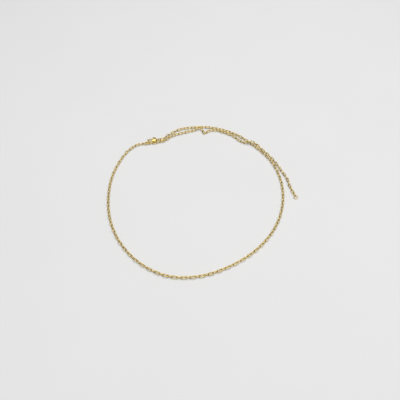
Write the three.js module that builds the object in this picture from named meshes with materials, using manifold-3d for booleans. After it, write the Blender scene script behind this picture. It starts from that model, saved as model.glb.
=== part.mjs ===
// Fine cable chain necklace in yellow gold, fastened short: its lobster claw has caught a link
// part of the way along, and the free end runs back beside the loop to a small end ring.
// Millimetres, +Z up. The chain lies on the plane z = 0.
import * as THREE from 'three';
import { mergeVertices } from 'three/addons/utils/BufferGeometryUtils.js';
import Module from 'manifold-3d';

const wasm = await Module();
wasm.setup();

// Chain
const link_pitch = 3.0; // from one link's centre to the next
const link_width = 2.2; // across the outside of a link
const link_wire = 0.6;
const link_play = 0.1; // slack between two interlocked links
const strand_gap = 0.3; // between strands that lie side by side, and at a strand's ends
const link_facets = 14;

// Lobster claw, along its own x from the eye to the hook
const eye_hole = 1.1;
const eye_wall = 0.5;
const eye_thickness = 0.8;
const claw_width = 4.4;
const claw_thickness = 2.4;
const body_front = 4.0; // from the eye's centre to the back of the claw's opening
const body_bevel = 0.4;
const neck_width = 1.3;
const hook_reach = 6.1; // from the eye's centre to the centre of the hook's bend
const hook_wire = 0.7;
const spine_width = 1.2; // the hook's back, where it leaves the body
const spine_thickness = 2.2;
const nose_angle = -50; // where the hook ends, in degrees round its bend
const clasp_heading = 184.4; // the way the hook points, in degrees from +X
const clasp_place = [-12.33, 18.4]; // the eye's centre, in link pitches

// Lever
const pivot_x = 2.9;
const pivot_side = 0.75; // from the claw's middle line to the rivet
const rivet_diameter = 0.7;
const rivet_play = 0.2;
const lever_thickness = 0.9;
const lever_clearance = 0.25;
const boss_wall = 0.4; // round the rivet's hole
const gate_width = 0.7;
const tab_width = 0.8;
const tab_reach = 0.75; // past the side of the claw
const lever_swing = 17; // degrees, opening inwards

// Rings
const clasp_ring_bore = 2.4;
const clasp_ring_wire = 0.5;
const clasp_ring_lean = 25; // degrees from upright
const end_ring_bore = 2.4;
const end_ring_wire = 0.5;
const ring_clearance = 0.2; // between a ring and the link on it
const first_link_turn = 14; // degrees, towards the strand

// Caught link
const catch_angle = 45; // where the link sits round the hook's bend, in degrees
const catch_clearance = 0.12;

// The loop's route between the clasp and the caught link, in link pitches (x, y).
const loop_route = [
  [-8.3, 21.35], [-4.88, 23.06], [2.19, 23.36], [8.92, 20.76], [14.22, 15.84], [18.26, 9.82],
  [19.9, 2.76], [19.32, -4.49], [16.71, -11.24], [12.28, -16.87], [6.37, -21.14], [-0.54, -23.83],
  [-7.62, -23.85], [-14.01, -20.63], [-18.97, -15.22], [-22.05, -8.69], [-23.35, -1.54],
  [-23.06, 5.8], [-20.88, 12.65], [-18.1, 16.25],
];

// The free end's route beside the loop: along it in link pitches from the first link, beside it
// (towards its inside) and over it in strand spacings.
const tail_route = [
  { along: 0.1, beside: 1.3, over: 0 },
  { along: 2, beside: 1.15, over: 0 },
  { along: 3.9, beside: 1.72, over: 0 },
  { along: 5.5, beside: 2.32, over: 0 },
  { along: 7.6, beside: 2.4, over: 0 },
  { along: 9.3, beside: 1.85, over: 0 },
  { along: 10, beside: 2.1, over: 0 },
  { along: 10.6, beside: 1.47, over: 0 },
  { along: 11.3, beside: 0.74, over: 0.62 },
  { along: 12.1, beside: 0.74, over: 0.62 },
  { along: 12.6, beside: 1.73, over: 0 },
  { along: 12.85, beside: 3.03, over: 0 },
  { along: 13.25, beside: 3.9, over: 0 },
  { along: 14.1, beside: 2.77, over: 0 },
  { along: 14.7, beside: 1.91, over: 0 },
  { along: 15.7, beside: 1.39, over: 0 },
  { along: 16.9, beside: 1, over: 0 },
  { along: 18.4, beside: 1.13, over: 0 },
  { along: 20.5, beside: 1.25, over: 0 },
  { along: 22.7, beside: 1.47, over: 0 },
  { along: 24.5, beside: 2.08, over: 0 },
  { along: 25.8, beside: 1.91, over: 0 },
  { along: 26.8, beside: 1.3, over: 0 },
  { along: 27.4, beside: 0.35, over: 1 },
  { along: 28, beside: -0.35, over: 1 },
  { along: 28.8, beside: -1.3, over: 0 },
  { along: 30.8, beside: -1, over: 0 },
  { along: 33, beside: -1, over: 0 },
  { along: 35, beside: -1.08, over: 0 },
  { along: 37, beside: -1.28, over: 0 },
  { along: 39, beside: -1.45, over: 0 },
  { along: 41.2, beside: -2.14, over: 0 },
  { along: 42.6, beside: -2.61, over: 0 },
  { along: 44.1, beside: -2.68, over: 0 },
  { along: 45.7, beside: -3.1, over: 0 },
  { along: 46.7, beside: -3.67, over: 0 },
];

// What follows from the sizes
const link_length = link_pitch + 2 * link_wire + link_play;
const strand = (link_width - link_wire) * Math.SQRT1_2 + link_wire; // height of links rolled by 45 degrees
const spacing = strand + strand_gap;
const claw_half = claw_width / 2;
const claw_middle = claw_thickness / 2;
const bend_radius = claw_half - hook_wire / 2;
const pivot = new THREE.Vector2(pivot_x, -pivot_side);
const boss_radius = rivet_diameter / 2 + rivet_play + boss_wall;
const pocket_radius = boss_radius + lever_clearance;
const slot = lever_thickness + 2 * lever_clearance;

const gold = { roughness: 0.28, metalness: 1 };

function finish(colour, roughness = gold.roughness) {
  return new THREE.MeshStandardMaterial({ color: colour, roughness, metalness: gold.metalness });
}

// A geometry with its shared vertices merged, as closed solids need it.
function closed(geometry) {
  const bare = geometry.clone();
  bare.deleteAttribute('normal');
  bare.deleteAttribute('uv');
  return mergeVertices(bare, 1e-5);
}

function solid(geometry) {
  const bare = closed(geometry);
  return new wasm.Manifold(new wasm.Mesh({
    numProp: 3,
    vertProperties: new Float32Array(bare.attributes.position.array),
    triVerts: new Uint32Array(bare.index.array),
  }));
}

function surface(manifold) {
  const mesh = manifold.getMesh();
  const geometry = new THREE.BufferGeometry();
  geometry.setAttribute('position', new THREE.BufferAttribute(mesh.vertProperties, 3));
  geometry.setIndex(new THREE.BufferAttribute(mesh.triVerts, 1));
  geometry.computeVertexNormals();
  return geometry;
}

function named(name, geometry, material) {
  const mesh = new THREE.Mesh(geometry, material);
  mesh.name = name;
  return mesh;
}

// A plan outline as a plate of a given thickness, centred on the height z.
function plate(shape, thickness, z, bevel = 0, curveSegments = 10) {
  const geometry = new THREE.ExtrudeGeometry(shape, {
    depth: thickness - 2 * bevel, curveSegments, bevelEnabled: bevel > 0, bevelSegments: 2,
    bevelSize: bevel, bevelThickness: bevel, bevelOffset: -bevel,
  });
  geometry.translate(0, 0, z - thickness / 2 + bevel);
  return geometry;
}

// A flat bar with round ends between two points of the plan.
function bar(from, to, width, thickness, z) {
  const angle = Math.atan2(to.y - from.y, to.x - from.x);
  const shape = new THREE.Shape();
  shape.absarc(from.x, from.y, width / 2, angle + Math.PI / 2, angle + 1.5 * Math.PI, false);
  shape.absarc(to.x, to.y, width / 2, angle - Math.PI / 2, angle + Math.PI / 2, false);
  return plate(shape, thickness, z, 0, 6);
}

function disc(centre, radius, thickness, z, sides) {
  const geometry = new THREE.CylinderGeometry(radius, radius, thickness, sides);
  geometry.rotateX(Math.PI / 2);
  geometry.translate(centre.x, centre.y, z);
  return geometry;
}

// A horn along a flat path: a cylinder bent along it, with a half width and a half height that
// follow the share t of its length.
function horn(path, z, halfWidth, halfHeight, sides, steps) {
  const geometry = new THREE.CylinderGeometry(1, 1, 1, sides, steps);
  const position = geometry.attributes.position;
  for (let i = 0; i < position.count; i += 1) {
    const t = position.getY(i) + 0.5;
    const at = path.getPointAt(t);
    const way = path.getTangentAt(t);
    const side = position.getX(i) * halfWidth(t);
    position.setXYZ(i, at.x + way.y * side, at.y - way.x * side, z + position.getZ(i) * halfHeight(t));
  }
  return geometry;
}

// An oval link lying flat with its length along x: a torus pulled apart in the middle.
function oval(length, width, wire) {
  const geometry = new THREE.TorusGeometry((width - wire) / 2, wire / 2, 6, link_facets);
  const position = geometry.attributes.position;
  for (let i = 0; i < position.count; i += 1) {
    position.setX(i, position.getX(i) + Math.sign(position.getX(i)) * (length - width) / 2);
  }
  return geometry;
}

function torus(bore, wire) {
  return new THREE.TorusGeometry((bore + wire) / 2, wire / 2, 6, 16);
}

// A route through points whose steps fall on the points themselves.
class Route extends THREE.Curve {
  constructor(points) {
    super();
    this.points = points;
  }

  getPoint(t, target = new THREE.Vector3()) {
    const at = THREE.MathUtils.clamp(t, 0, 1) * (this.points.length - 1);
    const i = Math.min(Math.floor(at), this.points.length - 2);
    return target.lerpVectors(this.points[i], this.points[i + 1], at - i);
  }

  getPointAt(t, target) {
    return this.getPoint(t, target);
  }

  getTangentAt(t, target) {
    return this.getTangent(t, target);
  }
}

function tube(points, diameter) {
  const section = new THREE.Shape();
  const sides = 8;
  for (let i = 0; i < sides; i += 1) {
    const angle = (i / sides) * 2 * Math.PI;
    const corner = [diameter / 2 * Math.cos(angle), diameter / 2 * Math.sin(angle)];
    if (i === 0) section.moveTo(...corner);
    else section.lineTo(...corner);
  }
  section.closePath();
  return new THREE.ExtrudeGeometry(section, {
    steps: points.length - 1, extrudePath: new Route(points), bevelEnabled: false,
  });
}

// The clasp's own frame: x from the eye to the hook, y towards the spine.
const clasp = new THREE.Group();
clasp.position.set(clasp_place[0] * link_pitch, clasp_place[1] * link_pitch, 0);
clasp.rotation.z = THREE.MathUtils.degToRad(clasp_heading);
clasp.updateMatrixWorld(true);

function fromClasp(x, y, z) {
  return new THREE.Vector3(x, y, z).applyMatrix4(clasp.matrixWorld);
}

function claspBody() {
  const outline = new THREE.Shape();
  const corner = 1.6 * body_bevel;
  outline.moveTo(eye_hole / 2 + eye_wall / 4, -neck_width / 2);
  outline.bezierCurveTo(pivot_x * 0.45, -neck_width / 2, pivot_x * 0.45, -claw_half, pivot_x, -claw_half);
  outline.lineTo(body_front - corner, -claw_half);
  outline.quadraticCurveTo(body_front, -claw_half, body_front, -claw_half + corner);
  outline.quadraticCurveTo(body_front - body_bevel, 0, body_front + body_bevel, claw_half - hook_wire);
  outline.lineTo(body_front + body_bevel, claw_half);
  outline.lineTo(pivot_x, claw_half);
  outline.bezierCurveTo(pivot_x * 0.45, claw_half, pivot_x * 0.45, neck_width / 2,
    eye_hole / 2 + eye_wall / 4, neck_width / 2);
  outline.closePath();
  let body = solid(plate(outline, claw_thickness, claw_middle, body_bevel));

  const back = new THREE.Path();
  const nose = THREE.MathUtils.degToRad(nose_angle);
  back.moveTo(pivot_x, claw_half - spine_width / 2);
  back.lineTo(hook_reach, bend_radius);
  back.absarc(hook_reach, 0, bend_radius, Math.PI / 2, nose, true);
  const length = back.getLength();
  const bend = (hook_reach - pivot_x) / length;
  const cap = hook_wire / 2 / length;
  const rounded = (t) => Math.sqrt(Math.max(0.08, 1 - Math.max(0, (t - 1 + cap) / cap) ** 2));
  const spine = (t) => Math.max(0, 1 - t / bend);
  body = body.add(solid(horn(back, claw_middle,
    (t) => (hook_wire / 2 + (spine_width - hook_wire) / 2 * spine(t)) * rounded(t),
    (t) => (hook_wire / 2 + (spine_thickness - hook_wire) / 2 * spine(t)) * rounded(t), 12, 26)));

  const eye = new THREE.Shape();
  eye.absarc(0, 0, eye_hole / 2 + eye_wall, 0, 2 * Math.PI, false);
  body = body.add(solid(plate(eye, eye_thickness, claw_middle, eye_wall / 4, 16)));
  body = body.subtract(solid(disc(new THREE.Vector2(), eye_hole / 2, claw_thickness, claw_middle, 20)));

  const mouth = new THREE.Shape();
  const open = claw_width;
  const rear = tab_width / 2 + lever_clearance;
  mouth.moveTo(pivot.x - rear, pivot.y);
  mouth.lineTo(pivot.x - rear, pivot.y - open);
  mouth.lineTo(body_front + open, pivot.y - open);
  mouth.lineTo(body_front + open, pivot.y + pocket_radius);
  mouth.lineTo(pivot.x, pivot.y + pocket_radius);
  mouth.closePath();
  const hook_side = new THREE.Shape();
  hook_side.moveTo(body_front + 2 * body_bevel, -open);
  hook_side.lineTo(body_front + 2 * open, -open);
  hook_side.lineTo(body_front + 2 * open, open);
  hook_side.lineTo(body_front + 2 * body_bevel, open);
  hook_side.closePath();
  const pocket = solid(plate(mouth, slot, claw_middle))
    .add(solid(disc(pivot, pocket_radius, slot, claw_middle, 20)))
    .subtract(solid(plate(hook_side, 2 * slot, claw_middle)));
  body = body.subtract(pocket);
  const rivet = solid(disc(pivot, rivet_diameter / 2, (claw_thickness + slot) / 2, claw_middle, 14));
  return surface(body.add(rivet));
}

// Where the gate's round end stands when it is shut: its clearance short of the hook's nose.
function gateEnd() {
  const nose = THREE.MathUtils.degToRad(nose_angle);
  const tip = new THREE.Vector2(hook_reach + bend_radius * Math.cos(nose), bend_radius * Math.sin(nose));
  const back = pivot.clone().sub(tip).normalize();
  return tip.add(back.multiplyScalar(gate_width / 2 + lever_clearance));
}

function claspLever() {
  const zero = new THREE.Vector2();
  const end = gateEnd().sub(pivot);
  const tab = new THREE.Vector2(0, pivot_side - claw_half - tab_reach + tab_width / 2);
  return surface(solid(disc(zero, boss_radius, lever_thickness, 0, 20))
    .add(solid(bar(zero, end, gate_width, lever_thickness, 0)))
    .add(solid(bar(zero, tab, tab_width, lever_thickness, 0)))
    .subtract(solid(disc(zero, rivet_diameter / 2 + rivet_play, 2 * lever_thickness, 0, 16))));
}

clasp.add(named('clasp_body', claspBody(), finish(0xd6bd72)));

// The lever is built round its rivet and hangs there shut; it turns about +Z by lever_swing.
const lever = named('clasp_lever', claspLever(), finish(0xc9ad5e));
lever.position.set(pivot.x, pivot.y, claw_middle);
clasp.add(lever);

// The clasp ring stands in the eye, leaning a little, and the first link hangs on its far side.
const clasp_ring_radius = (clasp_ring_bore + clasp_ring_wire) / 2;
const lean = THREE.MathUtils.degToRad(clasp_ring_lean);
const clasp_ring_height = Math.max(claw_middle,
  clasp_ring_radius * Math.cos(lean) + clasp_ring_wire / 2);
const clasp_ring = named('clasp_ring', closed(torus(clasp_ring_bore, clasp_ring_wire)), finish(0xcfb567));
clasp_ring.rotation.x = Math.PI / 2 - lean;
clasp_ring.position.set(-clasp_ring_radius, 0, clasp_ring_height);
clasp.add(clasp_ring);

function link(name, centre, heading, roll) {
  const mesh = named(name, closed(oval(link_length, link_width, link_wire)), finish(0xd9c27a));
  mesh.rotation.set(roll, 0, heading, 'ZYX');
  mesh.position.copy(centre);
  return mesh;
}

// From the wire that a link hangs on to the link's own centre.
function hang(wire) {
  return link_length / 2 - link_wire - ring_clearance - wire / 2;
}

const first_heading = THREE.MathUtils.degToRad(clasp_heading - 180 + first_link_turn);
const first_centre = fromClasp(-2 * clasp_ring_radius, 0, clasp_ring_height)
  .add(new THREE.Vector3(Math.cos(first_heading), Math.sin(first_heading), 0)
    .multiplyScalar(hang(clasp_ring_wire)));
const first_link = link('first_link', first_centre, first_heading, Math.PI / 4);

// The caught link stands on edge round the hook's bend and points outwards from it.
const catch_way = THREE.MathUtils.degToRad(catch_angle);
const catch_inner = bend_radius - hook_wire / 2 - catch_clearance - link_wire;
const catch_centre = catch_inner + link_length / 2;
const caught_link = link('caught_link',
  fromClasp(hook_reach + catch_centre * Math.cos(catch_way), catch_centre * Math.sin(catch_way), claw_middle),
  catch_way + THREE.MathUtils.degToRad(clasp_heading), Math.PI / 2);
const catch_outer = catch_inner + link_length - link_wire / 2;
const catch_point = fromClasp(hook_reach + catch_outer * Math.cos(catch_way),
  catch_outer * Math.sin(catch_way), strand / 2);

// The loop, as a smooth curve through its route, and its strand between the two end links.
const loop_curve = new THREE.CatmullRomCurve3([
  new THREE.Vector3(first_centre.x, first_centre.y, strand / 2),
  ...loop_route.map(([x, y]) => new THREE.Vector3(x * link_pitch, y * link_pitch, strand / 2)),
  catch_point,
], false, 'catmullrom', 0.5);
loop_curve.arcLengthDivisions = 1200;
const loop_length = loop_curve.getLength();

function loopStrand() {
  const steps = 50;
  const from = (link_length / 2 + strand_gap) / loop_length;
  const to = 1 - link_length / 2 / loop_length;
  const points = [];
  for (let i = 0; i <= steps; i += 1) points.push(loop_curve.getPointAt(from + (to - from) * (i / steps)));
  return tube(points, strand);
}

// A point of the free end's route, placed beside and over the loop.
function besideLoop({ along, beside, over }) {
  const t = along * link_pitch / loop_length;
  const way = loop_curve.getTangentAt(t);
  const point = loop_curve.getPointAt(t);
  return point.add(new THREE.Vector3(way.y, -way.x, 0).multiplyScalar(beside * spacing))
    .add(new THREE.Vector3(0, 0, over * spacing));
}

const claw_side = claw_half + strand_gap + strand / 2;
const ring_side = Math.max(clasp_ring_radius * Math.sin(lean) + clasp_ring_wire / 2,
  eye_hole / 2 + eye_wall) + strand_gap + strand / 2;
const tail_points = [
  catch_point.clone().lerp(fromClasp(pivot_x, claw_side, strand / 2),
    (link_length / 2) / catch_point.distanceTo(fromClasp(pivot_x, claw_side, strand / 2))),
  fromClasp(pivot_x, claw_side, strand / 2),
  fromClasp(0, Math.max(ring_side, (ring_side + claw_side) / 2), strand / 2),
  fromClasp(-clasp_ring_radius, ring_side, strand / 2),
  ...tail_route.map(besideLoop),
];

// The free end goes on straight through its last link into the end ring.
const tail_end = tail_points[tail_points.length - 1];
const tail_way = tail_end.clone().sub(tail_points[tail_points.length - 2]).normalize();
const last_centre = tail_end.clone().addScaledVector(tail_way, link_length / 2 + strand_gap);
last_centre.z = link_width / 2;
const last_link = link('last_link', last_centre, Math.atan2(tail_way.y, tail_way.x), Math.PI / 2);

// The end ring lies down from the link, which holds its near side up.
const end_ring_radius = (end_ring_bore + end_ring_wire) / 2;
const end_ring_near = link_wire + link_play + end_ring_wire / 2;
const end_ring_tilt = Math.asin((end_ring_near - end_ring_wire / 2) / (2 * end_ring_radius));
const end_ring = named('end_ring', closed(torus(end_ring_bore, end_ring_wire)), finish(0xcfb567));
end_ring.position.copy(last_centre)
  .addScaledVector(tail_way, hang(end_ring_wire) + end_ring_radius * Math.cos(end_ring_tilt));
end_ring.position.z = (end_ring_near + end_ring_wire / 2) / 2;
end_ring.rotation.set(0, end_ring_tilt, Math.atan2(tail_way.y, tail_way.x), 'ZYX');

const group = new THREE.Group();
group.add(clasp, first_link, caught_link, last_link, end_ring);
group.add(named('chain_loop', closed(loopStrand()), finish(0xbfa65c, 0.35)));
group.add(named('chain_tail', closed(tube(tail_points, strand)), finish(0xc6ad63, 0.35)));

// The part's origin is the middle of its base.
const extent = new THREE.Box3().setFromObject(group, true);
group.position.set(-(extent.min.x + extent.max.x) / 2, -(extent.min.y + extent.max.y) / 2, 0);

export default group;
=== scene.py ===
"""Looks of a fine gold cable chain necklace that is fastened short with its lobster clasp.

The chain lies on a pale surface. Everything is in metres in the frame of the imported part, +Z up.
Sizes given in millimetres say so, and are turned into metres where a piece gets its place.
"""

import logging
import math
import random
from dataclasses import dataclass, field
from enum import Enum
from functools import cached_property
from typing import Iterable, Mapping, Sequence

import bmesh
import bpy
import numpy as np
from mathutils import Matrix, Vector
from mathutils.geometry import interpolate_bezier


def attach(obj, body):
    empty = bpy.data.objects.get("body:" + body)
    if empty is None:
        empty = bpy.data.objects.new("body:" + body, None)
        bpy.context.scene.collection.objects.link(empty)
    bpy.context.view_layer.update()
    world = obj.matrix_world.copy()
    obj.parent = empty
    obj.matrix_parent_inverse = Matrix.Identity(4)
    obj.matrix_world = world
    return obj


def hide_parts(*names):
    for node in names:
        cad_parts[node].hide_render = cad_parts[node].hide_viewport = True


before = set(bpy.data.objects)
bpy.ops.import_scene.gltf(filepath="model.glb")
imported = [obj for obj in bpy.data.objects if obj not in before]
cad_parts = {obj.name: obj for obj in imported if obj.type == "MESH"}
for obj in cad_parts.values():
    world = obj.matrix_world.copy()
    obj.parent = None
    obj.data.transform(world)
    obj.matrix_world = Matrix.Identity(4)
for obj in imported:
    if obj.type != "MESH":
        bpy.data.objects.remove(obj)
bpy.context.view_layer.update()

LOG = logging.getLogger("necklace")
MM = 0.001
SCALE = Matrix.Scale(MM, 4)
Colour = tuple[float, float, float]


class Body(Enum):
    """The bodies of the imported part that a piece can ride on."""

    NECKLACE = "necklace"
    LEVER = "lever"


class Slot(Enum):
    """The record's material slots."""

    CHAIN = "chain_gold"
    CLASP = "clasp_gold"
    LEVER = "lever_gold"
    RING = "ring_gold"


# --- Shader maths ---


class MaterialTree:
    """The nodes of one new material."""

    def __init__(self, name: str) -> None:
        """Starts an empty material.

        Args:
            name: What the material is called.
        """
        self.material = bpy.data.materials.new(name)
        self.material.use_nodes = True
        self.nodes = self.material.node_tree.nodes
        self.links = self.material.node_tree.links
        self.nodes.clear()

    def add(
        self,
        kind: str,
        settings: Mapping[str, object] = {},
        inputs: Mapping[str | int, object] = {},
    ) -> bpy.types.Node:
        """Adds one node.

        Args:
            kind: The node's type.
            settings: Its own properties, and under "stops" a ramp's positions and colours.
            inputs: What its sockets get, by name or number: a value, a socket or a Value.

        Returns:
            The new node.
        """
        node = self.nodes.new(kind)
        for key, value in settings.items():
            if key == "stops":
                self._set_stops(node.color_ramp, value)
            else:
                setattr(node, key, value)
        for key, value in inputs.items():
            source = value.socket if isinstance(value, Value) else value
            if isinstance(source, bpy.types.NodeSocket):
                self.links.new(source, node.inputs[key])
            else:
                node.inputs[key].default_value = source
        return node

    @staticmethod
    def _set_stops(ramp: bpy.types.ColorRamp, stops: Sequence[tuple[float, Colour]]) -> None:
        """Gives a ramp its stops.

        Args:
            ramp: The ramp of a new Color Ramp node, which has two stops.
            stops: Position and colour of each stop, in order.
        """
        while len(ramp.elements) < len(stops):
            ramp.elements.new(0.5)
        for element, (position, colour) in zip(ramp.elements, stops):
            element.position = position
            element.color = (*colour, 1.0)

    def place(self) -> bpy.types.NodeSocket:
        """Returns the place on the object, in metres."""
        return self.add("ShaderNodeTexCoord").outputs["Object"]

    def attribute(self, name: str) -> "Value":
        """Returns a number that the piece's mesh holds under that name."""
        node = self.add("ShaderNodeAttribute", {"attribute_name": name})
        return Value(self, node.outputs["Fac"])

    def noise(
        self, place: bpy.types.NodeSocket, width: float, detail: float = 2.0, stretch: float = 1.0
    ) -> "Value":
        """Adds soft noise.

        Args:
            place: The coordinates.
            width: The patches' width in metres.
            detail: How many finer layers it has.
            stretch: How much longer than wide the patches are, along x.

        Returns:
            The noise, about 0.5 on average.
        """
        scaled = self.add(
            "ShaderNodeMapping", {}, {"Vector": place, "Scale": (1.0 / stretch, 1.0, 1.0)}
        )
        node = self.add(
            "ShaderNodeTexNoise",
            {},
            {"Vector": scaled.outputs["Vector"], "Scale": 1.0 / width, "Detail": detail},
        )
        return Value(self, node.outputs["Fac"])

    def blend(self, share: "Value", first: object, second: object) -> bpy.types.NodeSocket:
        """Mixes two colours.

        Args:
            share: How much of the second there is, from 0 to 1.
            first: A colour or a colour socket.
            second: A colour or a colour socket.

        Returns:
            The mixed colour's socket.
        """
        node = self.add("ShaderNodeMix", {"data_type": "RGBA"}, {0: share, 6: first, 7: second})
        return node.outputs[2]

    def bump(self, height: "Value", depth: float) -> bpy.types.NodeSocket:
        """Returns the normal of a surface with that relief, depth metres deep."""
        node = self.add(
            "ShaderNodeBump", {}, {"Height": height, "Distance": depth, "Strength": 1.0}
        )
        return node.outputs["Normal"]

    def finish(self, inputs: Mapping[str, object]) -> bpy.types.Material:
        """Closes the material with its shader.

        Args:
            inputs: What the Principled shader's sockets get.

        Returns:
            The material.
        """
        shader = self.add("ShaderNodeBsdfPrincipled", {}, inputs)
        self.add("ShaderNodeOutputMaterial", {}, {"Surface": shader.outputs["BSDF"]})
        return self.material


class Value:
    """A number that varies over a surface. Python's operators on it add Math nodes."""

    def __init__(self, tree: MaterialTree, socket: bpy.types.NodeSocket) -> None:
        """Wraps one socket of a material's tree."""
        self.tree = tree
        self.socket = socket

    def _math(self, operation: str, first: object, second: object, clamp: bool = False) -> "Value":
        """Returns the outcome of one Math node."""
        node = self.tree.add(
            "ShaderNodeMath", {"operation": operation, "use_clamp": clamp}, {0: first, 1: second}
        )
        return Value(self.tree, node.outputs["Value"])

    def __add__(self, other: object) -> "Value":
        """Returns self + other."""
        return self._math("ADD", self, other)

    def __sub__(self, other: object) -> "Value":
        """Returns self - other."""
        return self._math("SUBTRACT", self, other)

    def __mul__(self, other: object) -> "Value":
        """Returns self * other."""
        return self._math("MULTIPLY", self, other)

    def __rsub__(self, other: object) -> "Value":
        """Returns other - self."""
        return self._math("SUBTRACT", other, self)

    __radd__ = __add__
    __rmul__ = __mul__

    def clamped(self) -> "Value":
        """Returns self, held between 0 and 1."""
        return self._math("ADD", self, 0.0, clamp=True)

    def over(self, low: float, high: float) -> "Value":
        """Returns the share of the way from low to high, held between 0 and 1."""
        return ((self - low) * (1.0 / (high - low))).clamped()


# --- Finishes ---


@dataclass(frozen=True)
class GoldFinish:
    """Yellow gold with soft clouds, fine drawn or polished lines and a little wear.

    Attributes:
        name: The material's name.
        light: The colour of the cleaner gold.
        deep: The colour where it is warmer and less clean.
        gloss: The roughness of the best polished places.
        dull: The roughness of the rubbed places.
        cloud: Width of the colour clouds, in metres.
        line: Width of the fine lines, in metres.
        relief: Depth of the fine lines, in metres.
        varies: Whether each link has its own tone, held in the mesh as "tone".
    """

    name: str
    light: Colour
    deep: Colour
    gloss: float
    dull: float
    cloud: float
    line: float
    relief: float
    varies: bool = False

    def material(self) -> bpy.types.Material:
        """Builds the finish.

        Returns:
            Its material.
        """
        tree = MaterialTree(self.name)
        place = tree.place()
        clouds = tree.noise(place, self.cloud, 3.0).over(0.35, 0.65)
        lines = tree.noise(place, self.line, 2.0, stretch=9.0)
        rubs = tree.noise(place, 4.0 * self.line, 4.0).over(0.42, 0.62)
        if self.varies:
            tone = tree.attribute("tone")
            clouds = (clouds * 0.5 + tone * 0.5).clamped()
            rubs = (rubs * 0.6 + (1.0 - tone) * 0.4).clamped()
        colour = tree.blend(clouds, (*self.deep, 1.0), (*self.light, 1.0))
        roughness = rubs * (self.dull - self.gloss) + self.gloss + (lines - 0.5) * 0.08
        return tree.finish(
            {
                "Base Color": colour,
                "Metallic": 1.0,
                "Roughness": roughness.clamped(),
                "Normal": tree.bump(lines * 0.6 + rubs * 0.4, self.relief),
            }
        )


@dataclass(frozen=True)
class PaleSurface:
    """The plain matt surface that the necklace lies on.

    Attributes:
        name: The material's name.
        tone: Its colour.
        spread: How much its tone varies.
    """

    name: str = "pale_surface"
    tone: Colour = (0.80, 0.80, 0.80)
    spread: float = 0.012

    def material(self) -> bpy.types.Material:
        """Builds the surface's material.

        Returns:
            The material.
        """
        tree = MaterialTree(self.name)
        clouds = tree.noise(tree.place(), 0.09, 3.0)
        darker = tuple(part - self.spread for part in self.tone)
        colour = tree.blend(clouds.over(0.3, 0.7), (*darker, 1.0), (*self.tone, 1.0))
        return tree.finish({"Base Color": colour, "Roughness": 0.62, "Specular IOR Level": 0.25})


CHAIN_GOLD = GoldFinish(
    "drawn_wire_gold", light=(0.80, 0.63, 0.24), deep=(0.66, 0.49, 0.15), gloss=0.15, dull=0.30,
    cloud=0.0011, line=0.00006, relief=0.000003, varies=True,
)
# The clasp's gold is the chain's gold with a darker deep colour: painted shade that dims the
# claw's bright highlight.
CLASP_GOLD_WITH_PAINTED_SHADE = GoldFinish(
    "cast_clasp_gold_painted_shade", light=(0.80, 0.63, 0.24), deep=(0.60, 0.44, 0.13), gloss=0.16, dull=0.32,
    cloud=0.0016, line=0.00007, relief=0.000004,
)
LEVER_GOLD = GoldFinish(
    "lever_gold", light=(0.82, 0.62, 0.25), deep=(0.66, 0.45, 0.14), gloss=0.18, dull=0.34,
    cloud=0.0009, line=0.00006, relief=0.000004,
)
# The rings' gold is a darker copy of the chain's gold: painted shade that dims the rings' bright
# reflection of the lamp.
RING_GOLD_WITH_PAINTED_SHADE = GoldFinish(
    "ring_gold", light=(0.74, 0.58, 0.23), deep=(0.57, 0.43, 0.14), gloss=0.14, dull=0.28,
    cloud=0.0008, line=0.00006, relief=0.000003,
)


# --- Mesh tools ---


def edges_at(verts: Iterable[bmesh.types.BMVert]) -> list[bmesh.types.BMEdge]:
    """Returns the edges at those corners, each once and in order."""
    return list(dict.fromkeys(edge for vert in verts for edge in vert.link_edges))


def spun(
    section: bmesh.types.BMesh, edges: Iterable[bmesh.types.BMEdge], centre: Sequence[float],
    angle: float, steps: int, whole: bool = False,
) -> list[bmesh.types.BMEdge]:
    """Spins edges about a vertical axis.

    Args:
        section: The bmesh that holds them.
        edges: The edges to spin.
        centre: A point on the axis.
        angle: How far, in radians.
        steps: In how many steps.
        whole: Whether the last step meets the first.

    Returns:
        The edges at the end of the turn.
    """
    edges = list(edges)
    verts = list(dict.fromkeys(vert for edge in edges for vert in edge.verts))
    turned = bmesh.ops.spin(
        section, geom=verts + edges, cent=centre, axis=(0.0, 0.0, 1.0), angle=angle,
        steps=steps, use_merge=whole, use_duplicate=False,
    )
    return [part for part in turned["geom_last"] if isinstance(part, bmesh.types.BMEdge)]


def pulled(
    section: bmesh.types.BMesh, edges: Iterable[bmesh.types.BMEdge], change: Matrix
) -> list[bmesh.types.BMEdge]:
    """Extrudes a loop of edges and moves its new end.

    Args:
        section: The bmesh that holds it.
        edges: The loop.
        change: What the new end goes through.

    Returns:
        The new end's edges.
    """
    made = bmesh.ops.extrude_edge_only(section, edges=list(edges))["geom"]
    verts = [part for part in made if isinstance(part, bmesh.types.BMVert)]
    bmesh.ops.transform(section, matrix=change, verts=verts)
    return [part for part in made if isinstance(part, bmesh.types.BMEdge)]


def sweep(solid: bmesh.types.BMesh, sections: Sequence[Matrix], sides: int = 14) -> None:
    """Adds a closed horn through sections, each a unit circle put in place by its matrix.

    Args:
        solid: The bmesh that it is added to.
        sections: Where the circle goes, one after the other.
        sides: How many sides the circle has.
    """
    ring = bmesh.ops.create_circle(solid, segments=sides, radius=1.0, cap_ends=False)["verts"]
    bmesh.ops.transform(solid, matrix=sections[0], verts=ring)
    first = edges = edges_at(ring)
    for before, after in zip(sections, sections[1:]):
        edges = pulled(solid, edges, after @ before.inverted())
    for rim in (first, edges):
        bmesh.ops.contextual_create(solid, geom=rim)


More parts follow.
